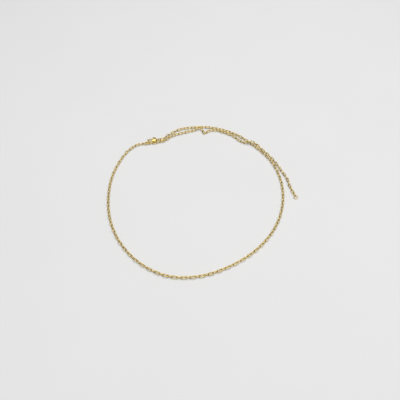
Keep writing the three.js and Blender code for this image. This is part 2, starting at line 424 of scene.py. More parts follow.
def plate(
    solid: bmesh.types.BMesh, outline: Sequence[Sequence[float]], low: float, high: float
) -> None:
    """Adds a plate with a plan outline.

    Args:
        solid: The bmesh that it is added to.
        outline: The outline's corners (x, y).
        low: The height of its underside.
        high: The height of its top.
    """
    verts = [solid.verts.new((corner[0], corner[1], low)) for corner in outline]
    face = solid.faces.new(verts)
    made = bmesh.ops.extrude_face_region(solid, geom=[face], use_keep_orig=True)["geom"]
    top = [part for part in made if isinstance(part, bmesh.types.BMVert)]
    bmesh.ops.translate(solid, verts=top, vec=(0.0, 0.0, high - low))


def collar(
    solid: bmesh.types.BMesh, centre: Sequence[float], radius: float, half_width: float,
    half_height: float, steps: int = 28, sides: int = 12, squareness: float = 0.6,
) -> None:
    """Adds a flat-sided ring about a vertical axis.

    Args:
        solid: The bmesh that it is added to.
        centre: Its middle.
        radius: From its middle to the middle of its section.
        half_width: Half the section's width.
        half_height: Half the section's height.
        steps: How many steps it is spun in.
        sides: How many sides its section has.
        squareness: 1 for a round section, and less for one with flatter sides.
    """
    ring = bmesh.ops.create_circle(solid, segments=sides, radius=1.0, cap_ends=False)["verts"]
    for vert in ring:
        x, y = vert.co.x, vert.co.y
        vert.co = (
            centre[0] + radius + half_width * math.copysign(abs(x) ** squareness, x),
            centre[1],
            centre[2] + half_height * math.copysign(abs(y) ** squareness, y),
        )
    spun(solid, edges_at(ring), centre, 2.0 * math.pi, steps, whole=True)


def mesh_of(solid: bmesh.types.BMesh, name: str, place: Matrix) -> bpy.types.Mesh:
    """Closes a bmesh into a mesh in its place, its corners and faces in the same order each run.

    Args:
        solid: The bmesh, which is freed.
        name: The mesh's name.
        place: Where it goes, as a matrix on its own coordinates.

    Returns:
        The mesh, smooth shaded, with its faces outwards.
    """
    bmesh.ops.remove_doubles(solid, verts=solid.verts, dist=1e-5)
    bmesh.ops.transform(solid, matrix=place, verts=solid.verts)
    bmesh.ops.recalc_face_normals(solid, faces=solid.faces)
    order = Vector((1.0, math.sqrt(2.0), math.sqrt(3.0)))
    solid.verts.sort(key=lambda vert: vert.co.dot(order))
    solid.faces.sort(key=lambda face: face.calc_center_median().dot(order))
    mesh = bpy.data.meshes.new(name)
    solid.to_mesh(mesh)
    solid.free()
    mesh.shade_smooth()
    return mesh


def repeated(
    name: str, pattern: bpy.types.Mesh, places: Sequence[Matrix], seed: int
) -> bpy.types.Mesh:
    """Joins many copies of a mesh of four-sided faces into one.

    Args:
        name: The new mesh's name.
        pattern: The mesh that is repeated.
        places: Where each copy goes.
        seed: What the copies' tones start from.

    Returns:
        The joined mesh, with each copy's tone in the attribute "tone".
    """
    count = len(pattern.vertices)
    own = np.empty(count * 3)
    pattern.vertices.foreach_get("co", own)
    own = np.hstack([own.reshape(-1, 3), np.ones((count, 1))])
    corners = np.empty(len(pattern.loops), dtype=np.int32)
    pattern.loops.foreach_get("vertex_index", corners)
    matrices = np.array([[list(row) for row in place] for place in places])
    points = np.einsum("kij,nj->kni", matrices, own)[:, :, :3]
    loops = corners[None, :] + count * np.arange(len(places), dtype=np.int32)[:, None]
    mesh = bpy.data.meshes.new(name)
    mesh.vertices.add(points.size // 3)
    mesh.vertices.foreach_set("co", points.reshape(-1))
    mesh.loops.add(loops.size)
    mesh.loops.foreach_set("vertex_index", loops.reshape(-1).astype(np.int32))
    mesh.polygons.add(loops.size // 4)
    mesh.polygons.foreach_set("loop_start", np.arange(0, loops.size, 4, dtype=np.int32))
    tones = np.random.default_rng(seed).uniform(0.0, 1.0, len(places)).astype(np.float32)
    held = mesh.attributes.new("tone", "FLOAT", "POINT")
    held.data.foreach_set("value", np.repeat(tones, count))
    mesh.update(calc_edges=True)
    mesh.validate()
    mesh.shade_smooth()
    return mesh


def piece(
    mesh: bpy.types.Mesh, body: Body, slot: Slot, finish: bpy.types.Material, *nodes: str
) -> bpy.types.Object:
    """Makes a mesh a piece of the necklace and reports it.

    Args:
        mesh: The piece's mesh, in its place.
        body: The body that it rides on.
        slot: The record's slot for the piece's finish. It is not used.
        finish: Its material.
        nodes: The solids that it stands for.

    Returns:
        The piece.
    """
    mesh.materials.clear()
    mesh.materials.append(finish)
    thing = bpy.data.objects.new(mesh.name, mesh)
    bpy.context.scene.collection.objects.link(thing)
    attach(thing, body.value)
    if nodes:
        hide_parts(*nodes)
    LOG.info("%s: %d faces on %s", mesh.name, len(mesh.polygons), body.value)
    return thing


# --- The chain ---


@dataclass
class OvalLink:
    """One link of the cable chain: round wire bent into an oval. Sizes in millimetres.

    Attributes:
        length: Outside length.
        width: Outside width.
        wire: The wire's diameter.
        pitch: From this link's centre to the next one's.
    """

    length: float = 4.3
    width: float = 2.2
    wire: float = 0.6
    pitch: float = 3.0

    def shape(self, sides: int, steps: int) -> bmesh.types.BMesh:
        """Bends the wire.

        Args:
            sides: How many sides the wire has.
            steps: In how many steps each end is bent.

        Returns:
            The link lying flat, its length along x, in millimetres.
        """
        half = (self.length - self.width) / 2.0
        bend = (self.width - self.wire) / 2.0
        link = bmesh.new()
        ring = bmesh.ops.create_circle(
            link, segments=sides, radius=self.wire / 2.0, cap_ends=False
        )["verts"]
        upright = Matrix.Rotation(math.pi / 2.0, 4, "Y")
        bmesh.ops.transform(
            link, matrix=Matrix.Translation((half, -bend, 0.0)) @ upright, verts=ring
        )
        edges = spun(link, edges_at(ring), (half, 0.0, 0.0), math.pi, steps)
        edges = pulled(link, edges, Matrix.Translation((-2.0 * half, 0.0, 0.0)))
        edges = spun(link, edges, (-half, 0.0, 0.0), math.pi, steps)
        pulled(link, edges, Matrix.Translation((2.0 * half, 0.0, 0.0)))
        return link

    def many(self, name: str, places: Sequence[Matrix], seed: int) -> bpy.types.Mesh:
        """Returns one mesh of many links, each at its place in metres."""
        return repeated(name, mesh_of(self.shape(6, 5), name, SCALE), places, seed)

    def single(self, name: str, place: Matrix) -> bpy.types.Mesh:
        """Returns one link with rounder wire, at its place in metres."""
        return repeated(name, mesh_of(self.shape(10, 9), name, SCALE), [place], seed=7)

    def centre_height(self, roll: float) -> float:
        """Returns how high its centre is when it lies rolled by that angle, in millimetres."""
        return (self.width - self.wire) / 2.0 * abs(math.sin(roll)) + self.wire / 2.0


def turned(centre: Sequence[float], way: Vector, roll: float) -> Matrix:
    """Puts a link at a centre.

    Args:
        centre: Its centre in millimetres.
        way: The way that it points.
        roll: How far it is rolled about that way from lying flat, in radians.

    Returns:
        Its place, in metres.
    """
    along = way.normalized()
    side = Vector((0.0, 0.0, 1.0)).cross(along).normalized()
    axes = Matrix((along, side, along.cross(side))).transposed().to_4x4()
    return Matrix.Translation(Vector(centre) * MM) @ axes @ Matrix.Rotation(roll, 4, "X")


def heading(angle: float) -> Vector:
    """Returns the level direction at that angle from +X, in radians."""
    return Vector((math.cos(angle), math.sin(angle), 0.0))


@dataclass
class Route:
    """A strand's middle line on the surface.

    Attributes:
        points: What it is drawn through, in millimetres.
    """

    points: list[Vector]

    def smooth(self, steps: int = 60) -> "Route":
        """Draws a smooth curve through the route's points.

        Args:
            steps: How many new points a span between two points gets.

        Returns:
            The curve.
        """
        ends = [2.0 * self.points[0] - self.points[1], 2.0 * self.points[-1] - self.points[-2]]
        knots = [ends[0], *self.points, ends[1]]
        drawn: list[Vector] = []
        for before, start, end, after in zip(knots, knots[1:], knots[2:], knots[3:]):
            for step in range(steps):
                t = step / steps
                out, into = (end - before) * 0.5, (after - start) * 0.5
                drawn.append(
                    (2.0 * start - 2.0 * end + out + into) * t**3
                    + (3.0 * end - 3.0 * start - 2.0 * out - into) * t**2
                    + out * t
                    + start
                )
        return Route([*drawn, self.points[-1].copy()])

    def relaxed(self, spacing: float, reach: float) -> "Route":
        """Rounds the corners of a route.

        Args:
            spacing: How close together its new points are.
            reach: Over what length a corner is rounded.

        Returns:
            The rounded route, with the same ends.
        """
        count = max(2, round(self.length() / spacing))
        even = np.array([self.at(self.length() * i / count) for i in range(count + 1)])
        window = max(1, round(reach / spacing)) | 1
        kernel = np.ones(window) / window
        for _ in range(2):
            wide = np.vstack([
                2.0 * even[0] - even[window // 2:0:-1], even,
                2.0 * even[-1] - even[-2:-window // 2 - 1:-1],
            ])
            even = np.stack([np.convolve(wide[:, k], kernel, "valid") for k in range(3)], axis=1)
        return Route([Vector(point) for point in even])

    @cached_property
    def stations(self) -> list[float]:
        """Measures the route.

        Returns:
            How far along the route each point is.
        """
        far = [0.0]
        for start, end in zip(self.points, self.points[1:]):
            far.append(far[-1] + (end - start).length)
        return far

    def length(self) -> float:
        """Returns the route's length."""
        return self.stations[-1]

    def at(self, distance: float) -> Vector:
        """Finds a place on the route.

        Args:
            distance: How far along it is, which may be past either end.

        Returns:
            The point there, straight on past an end.
        """
        far = self.stations
        index = int(np.clip(np.searchsorted(far, distance) - 1, 0, len(far) - 2))
        start, end = self.points[index], self.points[index + 1]
        return start + (end - start) * ((distance - far[index]) / (far[index + 1] - far[index]))


@dataclass
class Strand:
    """A run of links along a route.

    Attributes:
        name: The piece's name.
        node: The solid that it stands for.
        route: Its middle line, in millimetres.
        start: How far along the route its first joint is.
        stop: How far past the route's end its last joint is.
        end_rolls: The rolls of the first and the last link, in degrees. Half a turn is the same.
        end_heights: The heights of the first and the last joint in millimetres.
        link: The chain's link.
        seed: What its small differences start from.
        settle: Over how many links at either end the rolls come to the end links' own.
        unsteady: How far a link may be rolled off its neighbours' order, in degrees.
        tip_height: How far a strand is raised where all its links lean, in millimetres.
        first_rise: The share of the first joint's extra height that the second still has.
    """

    name: str
    node: str
    route: Route
    start: float
    stop: float
    end_rolls: tuple[float, float]
    end_heights: tuple[float, float]
    link: OvalLink = field(default_factory=OvalLink)
    seed: int = 1
    settle: int = 7
    unsteady: float = 6.0
    tip_height: float = 0.8
    first_rise: float = 0.3

    def low(self) -> float:
        """Returns the height of a link's centre where the links lean by half a quarter turn."""
        return self.link.centre_height(math.pi / 4.0)

    def lean(self, distance: float) -> float:
        """Works out how far the links lean over at a place.

        Args:
            distance: How far along the route it is.

        Returns:
            The lean in degrees: 0 where links lie flat and stand up by turns, and 45 where all
            lean alike, as they do where the strand runs away from the viewer or over another.
        """
        way = self.route.at(distance + 0.5) - self.route.at(distance - 0.5)
        across = way.y**2 / max(way.x**2 + way.y**2, 1e-9)
        raised = (self.route.at(distance).z - self.low()) / self.tip_height
        return 45.0 * min(1.0, across + max(0.0, raised))

    def end_turns(self, start: float, last: int) -> tuple[float, ...]:
        """Works out how far the end links must still turn to their own rolls.

        Args:
            start: The first link's roll in the order by turns, in degrees.
            last: The last link's number, counted from 0.

        Returns:
            The first and the last link's turn in degrees, within a quarter turn either way.
        """
        ordered = (start, start + 90.0 * last)
        return tuple(
            (own - found + 90.0) % 180.0 - 90.0 for own, found in zip(self.end_rolls, ordered)
        )

    def rolls(self, middles: Sequence[float]) -> list[float]:
        """Rolls the links by turns, one a quarter turn from the next.

        Args:
            middles: How far along the route each link is.

        Returns:
            Each link's roll, in radians.
        """
        chance = random.Random(self.seed)
        last = len(middles) - 1
        turns = {start: self.end_turns(start, last) for start in (0.0, 90.0)}
        start = min(turns, key=lambda roll: sum(abs(turn) for turn in turns[roll]))
        first_turn, last_turn = turns[start]
        rolls = []
        for k, middle in enumerate(middles):
            lead = 1.0 - min(1.0, k / self.settle)
            trail = 1.0 - min(1.0, (last - k) / self.settle)
            free = (1.0 - lead) * (1.0 - trail)
            shake = chance.uniform(-self.unsteady, self.unsteady)
            drift = first_turn * lead + last_turn * trail + (self.lean(middle) + shake) * free
            rolls.append(math.radians(start + 90.0 * k + drift))
        return rolls

    def places(self) -> list[Matrix]:
        """Works out each link's place.

        Returns:
            The places, in metres.
        """
        run = self.route.length() + self.stop - self.start
        count = round(run / self.link.pitch)
        rolls = self.rolls([self.start + run * (k + 0.5) / count for k in range(count)])
        joints = []
        for k in range(count + 1):
            joint = self.route.at(self.start + run * k / count)
            near = [self.link.centre_height(roll) for roll in rolls[max(0, k - 1):k + 1]]
            joint.z = max(joint.z, *near)
            joints.append(joint)
        first, last = self.end_heights
        joints[0].z = first
        joints[1].z = max(joints[1].z, self.low() + (first - self.low()) * self.first_rise)
        joints[-1].z = last
        return [
            turned((start + end) / 2.0, end - start, roll)
            for start, end, roll in zip(joints, joints[1:], rolls)
        ]

    def build(self, finish: bpy.types.Material) -> bpy.types.Object:
        """Builds the strand's links as one piece."""
        mesh = self.link.many(self.name, self.places(), self.seed)
        return piece(mesh, Body.NECKLACE, Slot.CHAIN, finish, self.node)


@dataclass
class Chain:
    """The whole chain: the loop, the free end and the three links that stand by themselves.

    Places are in millimetres and headings in radians from +X.

    Attributes:
        link: The chain's link.
        caught_point: Where the caught link holds its neighbours.
        inside: How far its neighbours reach past that point.
        first_centre: The centre of the first link, which hangs on the clasp's ring.
        caught_centre: The centre of the caught link.
        last_centre: The centre of the last link, which holds the end ring.
        first_heading: The way the first link points.
        caught_heading: The way the caught link points.
        last_heading: The way the last link points.
    """

    link: OvalLink = field(default_factory=OvalLink)
    caught_point: tuple[float, float, float] = (-45.82, 52.09, 0.87)
    inside: float = 0.3
    first_centre: tuple[float, float, float] = (-32.6937, 56.7593, 1.5641)
    caught_centre: tuple[float, float, float] = (-44.6177, 53.4970, 1.2)
    last_centre: tuple[float, float, float] = (68.3593, -1.6989, 1.1)
    first_heading: float = math.radians(18.4)
    caught_heading: float = math.radians(229.4)
    last_heading: float = -1.258255

    def loop_route(self) -> Route:
        """Returns the loop's middle line from the first link to the caught link."""
        plan = [
            (-32.69, 56.76), (-24.54, 65.04), (-14.28, 70.17), (6.93, 71.07), (27.12, 63.27),
            (43.02, 48.51), (55.14, 30.45), (60.06, 9.27), (58.32, -12.48), (50.49, -32.73),
            (37.2, -49.62), (19.47, -62.43), (-1.26, -70.5), (-22.5, -70.56), (-41.67, -60.9),
            (-56.55, -44.67), (-65.79, -25.08), (-69.69, -3.63), (-68.82, 18.39), (-62.28, 38.94),
            (-53.94, 49.74), (-45.82, 52.09),
        ]
        return Route([Vector((x, y, self.caught_point[2])) for x, y in plan]).smooth()

    def tail_route(self) -> Route:
        """Returns the free end's middle line, beside and twice over the loop.

        Returns:
            The line through its points (x, y), or (x, y, height) where it is raised.
        """
        points = [
            (-45.82, 52.09), (-43.68, 52.26), (-39.26, 52.61), (-36.41, 53.41), (-35.01, 54.09),
            (-30.59, 55.14), (-26.93, 59.62), (-22.43, 62.25), (-18.14, 63.83), (-13.72, 65.31),
            (-9.21, 67.17), (-7.16, 66.9), (-5.56, 68.34), (-3.63, 69.96, 2.13),
            (-1.29, 70.05, 2.13), (0.17, 68.06), (0.82, 65.41), (1.82, 63.62), (4.13, 65.76),
            (5.87, 67.31), (8.79, 67.83), (12.32, 67.73), (16.32, 66.09), (21.74, 63.4),
            (26.89, 59.85), (30.1, 55.8), (33.04, 53.59), (35.95, 52.42), (38.56, 52.47, 2.9),
            (40.83, 52.1, 2.9), (43.88, 51.56), (47.33, 46.5), (51.38, 41.12), (54.83, 35.97),
            (57.95, 30.48), (60.34, 24.65), (63.29, 18.2), (64.92, 13.92), (65.53, 9.14),
            (66.54, 3.95), (67.61, 0.63), (67.9, -0.27),
        ]
        resting = (self.caught_point[2],)
        heights = [point[2:] or resting for point in points]
        return Route(
            [Vector((*point[:2], *height)) for point, height in zip(points, heights)]
        ).relaxed(0.1, 1.3)

    def build(self, finish: bpy.types.Material) -> None:
        """Builds both strands and the three links.

        Args:
            finish: The chain's material.
        """
        Strand(
            "loop_links", "chain_loop", self.loop_route(), start=1.5, stop=self.inside,
            end_rolls=(-45.0, 0.0), end_heights=(1.564, 1.0), link=self.link, seed=3,
        ).build(finish)
        Strand(
            "tail_links", "chain_tail", self.tail_route(), start=-self.inside, stop=0.0,
            end_rolls=(0.0, 0.0), end_heights=(1.62, 1.1), link=self.link, seed=5,
        ).build(finish)
        singles = (
            ("first_wire_link", "first_link", self.first_centre, self.first_heading, 45.0),
            ("caught_wire_link", "caught_link", self.caught_centre, self.caught_heading, 90.0),
            ("last_wire_link", "last_link", self.last_centre, self.last_heading, 90.0),
        )
        for name, node, centre, angle, roll in singles:
            mesh = self.link.single(name, turned(centre, heading(angle), math.radians(roll)))
            piece(mesh, Body.NECKLACE, Slot.CHAIN, finish, node)


# --- Rings ---


@dataclass
class JumpRing:
    """A ring of round wire with the fine seam where its ends meet. Sizes in millimetres.

    Attributes:
        name: The piece's name.
        node: The solid that it stands for.
        centre: Its centre.
        stand: How it is turned from lying flat.
        seam_at: Where round it the seam is, in radians.
        bore: Its inside diameter.
        wire: The wire's diameter.
        seam: How wide the seam is.
    """

    name: str
    node: str
    centre: tuple[float, float, float]
    stand: Matrix
    seam_at: float
    bore: float = 2.4
    wire: float = 0.5
    seam: float = 0.04

    def build(self, finish: bpy.types.Material) -> bpy.types.Object:
        """Bends the ring and closes its ends.

        Args:
            finish: Its material.

        Returns:
            The piece.
        """
        radius = (self.bore + self.wire) / 2.0
        ring = bmesh.new()
        section = bmesh.ops.create_circle(
            ring, segments=12, radius=self.wire / 2.0, cap_ends=False
        )["verts"]
        upright = Matrix.Rotation(math.pi / 2.0, 4, "X")
        bmesh.ops.transform(
            ring, matrix=Matrix.Translation((radius, 0.0, 0.0)) @ upright, verts=section
        )
        start = edges_at(section)
        end = spun(ring, start, (0.0, 0.0, 0.0), 2.0 * math.pi - self.seam / radius, 40)
        for rim in (start, end):
            bmesh.ops.contextual_create(ring, geom=rim)
        turn = self.stand @ Matrix.Rotation(self.seam_at, 4, "Z")
        place = Matrix.Translation(Vector(self.centre) * MM) @ turn @ SCALE
        return piece(mesh_of(ring, self.name, place), Body.NECKLACE, Slot.RING, finish, self.node)


@dataclass
class Rings:
    """The clasp's ring and the end ring as they lie. Centres in millimetres, angles in radians.

    Attributes:
        clasp_centre: The clasp ring's centre.
        clasp_heading: The way of the claw, about which the ring leans.
        clasp_lean: How far it leans up from lying flat.
        clasp_seam: Where round it its seam is.
        end_centre: The end ring's centre.
        end_heading: The way of the free end's last link.
        end_tilt: How far the ring is tilted along that way.
        end_seam: Where round it its seam is.
    """

    clasp_centre: tuple[float, float, float] = (-35.1832, 56.3009, 1.5641)
    clasp_heading: float = math.radians(184.4)
    clasp_lean: float = math.radians(65.0)
    clasp_seam: float = math.radians(60.0)
    end_centre: tuple[float, float, float] = (69.1302, -4.0846, 0.6)
    end_heading: float = -1.258255
    end_tilt: float = 0.243787
    end_seam: float = math.radians(-60.0)

    def build(self, finish: bpy.types.Material) -> None:
        """Builds both rings.

        Args:
            finish: Their material.
        """
        leaning = Matrix.Rotation(self.clasp_lean, 4, "X")
        stand = Matrix.Rotation(self.clasp_heading, 4, "Z") @ leaning
        JumpRing(
            "clasp_jump_ring", "clasp_ring", self.clasp_centre, stand, self.clasp_seam
        ).build(finish)
        tilted = Matrix.Rotation(self.end_tilt, 4, "Y")
        stand = Matrix.Rotation(self.end_heading, 4, "Z") @ tilted
        JumpRing(
            "end_jump_ring", "end_ring", self.end_centre, stand, self.end_seam
        ).build(finish)


# --- The clasp ---


@dataclass
class LobsterClaw:
    """The cast claw and its sprung lever. Sizes in millimetres, x from the eye to the hook.

    Attributes:
        eye_place: The eye's centre in the part.
        angle: The way the hook points, in radians from +X.
        middle: The height of its middle plane.
        half_width: Half its width.
        cheek: The cheeks' thickness.
        front: How far the cheeks reach from the eye.
        bevel: How much further they reach on the hook's side.
        neck: Half the neck's width at the eye.
        eye_hole: The eye's inside diameter.
        eye_wall: The width of the metal round it.
        eye_thickness: The eye's thickness.
        hook_reach: How far the middle of the hook's bend is from the eye.
        hook_wire: The hook's thickness.
        spine_width: The width of the claw's back, where the hook starts.
        spine_thickness: Its thickness there.
        nose_angle: Where round its bend the hook ends, in radians.
        pivot: The rivet's place (x, y).
        rivet: The rivet's diameter.
        rivet_play: The room round it in the lever.
        rivet_head: The diameter of its heads.
        boss: The radius of the lever's boss.
        pocket: The radius of the hollow for the boss.
        gate_width: The width of the lever's gate arm.
        gate_root: How far from the rivet the gate arm starts.
        gate_bow: How far the gate arm is bowed.
        tab_width: The width of the thumb tab.
        tab_root: How far from the rivet the tab's arm starts.
        tab_reach: How far the tab stands out of the claw.
        lever_thickness: The lever's thickness.
        clearance: The gap between the gate and the hook's nose.
        crown: The share of the height that the middle of a cheek keeps.
        side_drop: By what share a cheek is lower at its sides.
        end_drop: By what share a cheek is lower at its ends.
        voxel: How finely the casting is fused.
        lever_voxel: How finely the lever is fused.
    """

    eye_place: tuple[float, float, float] = (-36.6289, 56.1896, 0.0)
    angle: float = math.radians(184.4)
    middle: float = 1.2
    half_width: float = 2.2
    cheek: float = 0.5
    front: float = 4.0
    bevel: float = 0.4
    neck: float = 0.65
    eye_hole: float = 1.1
    eye_wall: float = 0.5
    eye_thickness: float = 0.8
    hook_reach: float = 6.1
    hook_wire: float = 0.7
    spine_width: float = 1.2
    spine_thickness: float = 2.2
    nose_angle: float = math.radians(-50.0)
    pivot: tuple[float, float] = (2.9, -0.75)
    rivet: float = 0.7
    rivet_play: float = 0.2
    rivet_head: float = 1.1
    boss: float = 0.95
    pocket: float = 1.2
    gate_width: float = 0.7
    gate_root: float = 0.72
    gate_bow: float = 0.10
    tab_width: float = 0.8
    tab_root: float = 0.7
    tab_reach: float = 0.75
    lever_thickness: float = 0.9
    clearance: float = 0.25
    crown: float = 0.95
    side_drop: float = 0.28
    end_drop: float = 0.08
    voxel: float = 0.05
    lever_voxel: float = 0.035

    def place(self) -> Matrix:
        """Returns what puts the clasp's own millimetres in the part, in metres."""
        where = Matrix.Translation(Vector(self.eye_place) * MM)
        return where @ Matrix.Rotation(self.angle, 4, "Z") @ SCALE

    def shoulder(self, side: float) -> list[Vector]:
        """Returns the curve from the neck to the widest place, on the side of that sign."""
        knots = [(0.675, self.neck), (1.305, self.neck), (1.305, self.half_width),
                 (self.pivot[0], self.half_width)]
        return list(interpolate_bezier(*(Vector((x, side * y, 0.0)) for x, y in knots), 12))

    def cheek_outline(self) -> list[Vector]:
        """Draws a cheek.

        Returns:
            The outline's corners, from the neck round the hook's side and back.
        """
        corner = 1.6 * self.bevel
        front, half = self.front, self.half_width
        lower = self.shoulder(-1.0)
        nose = interpolate_bezier(
            Vector((front - corner, -half, 0)), Vector((front - corner / 3, -half, 0)),
            Vector((front, -half + corner / 3, 0)), Vector((front, -half + corner, 0)), 6,
        )
        throat = interpolate_bezier(
            Vector((front, -half + corner, 0)), Vector((front - 0.3, -0.4, 0)),
            Vector((front - 0.2, 0.6, 0)),
            Vector((front + self.bevel, half - self.hook_wire, 0)), 7,
        )
        back = [Vector((front + self.bevel, half, 0)), *reversed(self.shoulder(1.0))]
        return [*lower, *nose, *throat[1:], *back]

    def core_outline(self) -> list[Vector]:
        """Draws the metal between the cheeks, round the lever's hollow.

        Returns:
            The outline's corners, in the same order as a cheek's.
        """
        px, py = self.pivot
        rear = px - self.tab_width / 2.0 - self.clearance
        lower = [point for point in self.shoulder(-1.0) if point.x < rear - 0.05]
        hollow = [
            Vector((px + self.pocket * math.cos(a), py + self.pocket * math.sin(a), 0.0))
            for a in (math.radians(d) for d in range(236, 89, -12))
        ]
        start = Vector((rear, -self.half_width + 0.12, 0.0))
        front = [
            Vector((self.front - 0.16, py + self.pocket, 0.0)),
            Vector((self.front + self.bevel, self.half_width - self.hook_wire, 0.0)),
            Vector((self.front + self.bevel, self.half_width, 0.0)),
        ]
        return [*lower, start, *hollow, *front, *reversed(self.shoulder(1.0))]

    def hook_sections(self) -> list[Matrix]:
        """Bends the hook from the claw's back round to its nose.

        Returns:
            Its sections, for the sweep.
        """
        radius = self.half_width - self.hook_wire / 2.0
        half = self.hook_wire / 2.0
        start = self.half_width - self.spine_width / 2.0
        quarter = Matrix.Rotation(math.pi / 2.0, 4, "Y")
        sections = []
        straights, turns = 8, 16
        for step in range(straights + 1):
            t = step / straights
            wide = half + (self.spine_width / 2.0 - half) * (1.0 - t)
            tall = half + (self.spine_thickness / 2.0 - half) * (1.0 - t) ** 1.2
            x = self.pivot[0] + (self.hook_reach - self.pivot[0]) * t
            y = start + (radius - start) * t
            size = Matrix.Diagonal((1.0, wide, tall, 1.0))
            sections.append(Matrix.Translation((x, y, self.middle)) @ size @ quarter)
        sweep_angle = math.pi / 2.0 - self.nose_angle
        for step in range(1, turns + 1):
            a = math.pi / 2.0 - sweep_angle * step / turns
            swell = 1.0 + 0.12 * math.sin(math.pi * step / turns) ** 2
            where = Matrix.Translation(
                (self.hook_reach + radius * math.cos(a), radius * math.sin(a), self.middle)
            )
            size = Matrix.Diagonal((1.0, half, half * swell, 1.0))
            sections.append(where @ Matrix.Rotation(a - math.pi / 2.0, 4, "Z") @ size @ quarter)
        return sections

    def rounded_end(self, sections: list[Matrix], reach: float, steps: int = 4) -> list[Matrix]:
        """Rounds off a horn.

        Args:
            sections: The horn's sections, the last two of which give its way.
            reach: How far the rounding reaches, in millimetres.
            steps: In how many steps.

        Returns:
            The sections with the rounding's added, inside the horn's length.
        """
        last = sections.pop()
        way = (last.translation - sections[-1].translation).normalized()
        for step in range(steps + 1):
            a = math.pi / 2.0 * step / steps * 0.94
            shift = Matrix.Translation(way * reach * (math.sin(a) - 1.0))
            shrink = Matrix.Diagonal((math.cos(a), math.cos(a), 1.0, 1.0))
            sections.append(shift @ last @ shrink)
        return sections

    def fused(
        self, solid: bmesh.types.BMesh, name: str, voxel: float, smoothing: int
    ) -> bmesh.types.BMesh:
        """Fuses overlapping forms into one casting with soft inner corners.

        Args:
            solid: The forms, in millimetres. It is freed.
            name: What the casting is called while it is made.
            voxel: The fineness of the new surface, in millimetres.
            smoothing: How many times it is smoothed.

        Returns:
            The casting, in millimetres.
        """
        thing = bpy.data.objects.new(name, mesh_of(solid, name, Matrix.Identity(4)))
        bpy.context.scene.collection.objects.link(thing)
        remesh = thing.modifiers.new("fuse", "REMESH")
        remesh.mode = "VOXEL"
        remesh.voxel_size = voxel
        remesh.use_smooth_shade = True
        shown = thing.evaluated_get(bpy.context.evaluated_depsgraph_get())
        casting = bmesh.new()
        casting.from_mesh(shown.to_mesh())
        shown.to_mesh_clear()
        bpy.data.objects.remove(thing)
        for _ in range(smoothing):
            bmesh.ops.smooth_vert(
                casting, verts=casting.verts, factor=0.5, use_axis_x=True, use_axis_y=True,
                use_axis_z=True,
            )
        return casting

    def domed(self, point: Vector) -> float:
        """Domes the cheeks, thins the neck towards the eye and leaves the hook round.

        Args:
            point: A point of the casting with flat cheeks.

        Returns:
            Its new height.
        """
        away = abs(point.z - self.middle)
        core = self.eye_thickness / 2.0 - 0.02
        if point.x > 0.3 and away > core:
            slim = min(1.0, 0.5 + 0.5 * max(0.0, point.x - 0.5) / 1.9)
            away = core + (away - core) * (self.middle * slim - core) / (self.middle - core)
        edge = min(1.0, abs(point.y) / self.half_width)
        t = min(1.0, max(0.0, (point.x - self.front + 0.6) / 1.6))
        hook = t * t * (3.0 - 2.0 * t)
        end = min(1.0, abs(point.x - 2.4) / 2.0)
        domed = self.crown - self.side_drop * edge**2 - self.end_drop * end**2
        height = away * (domed * (1.0 - hook) + hook)
        return self.middle + math.copysign(height, point.z - self.middle)

    def body(self) -> bpy.types.Mesh:
        """Casts the claw: two cheeks, the metal between them, the hook and the eye.

        Returns:
            Its mesh, in the part.
        """
        claw = bmesh.new()
        top = 2.0 * self.middle
        cheek = self.cheek_outline()
        plate(claw, cheek, 0.0, self.cheek)
        plate(claw, cheek, top - self.cheek, top)
        plate(claw, self.core_outline(), self.cheek - 0.08, top - self.cheek + 0.08)
        sweep(claw, self.rounded_end(self.hook_sections(), self.hook_wire / 2.0))
        collar(
            claw, (0.0, 0.0, self.middle), (self.eye_hole + self.eye_wall) / 2.0,
            self.eye_wall / 2.0, self.eye_thickness / 2.0,
        )
        casting = self.fused(claw, "claw_forms", self.voxel, 3)
        for vert in casting.verts:
            vert.co.z = self.domed(vert.co)
        return mesh_of(casting, "claw", self.place())

    def rivet_mesh(self) -> bpy.types.Mesh:
        """Turns the rivet, with a low head on either cheek.

        Returns:
            Its mesh, in the part.
        """
        pin = bmesh.new()
        shank, head, top = self.rivet / 2.0, self.rivet_head / 2.0, 2.0 * self.middle
        lower = [(head * 0.45, 0.0), (head * 0.85, 0.04), (head, 0.12), (head * 0.96, 0.26),
                 (shank, 0.3)]
        profile = [*lower, *((radius, top - z) for radius, z in reversed(lower))]
        sections = [
            Matrix.Translation((*self.pivot, z)) @ Matrix.Diagonal((r, r, 1.0, 1.0))
            for r, z in profile
        ]
        sweep(pin, sections, 20)
        return mesh_of(pin, "claw_rivet", self.place())

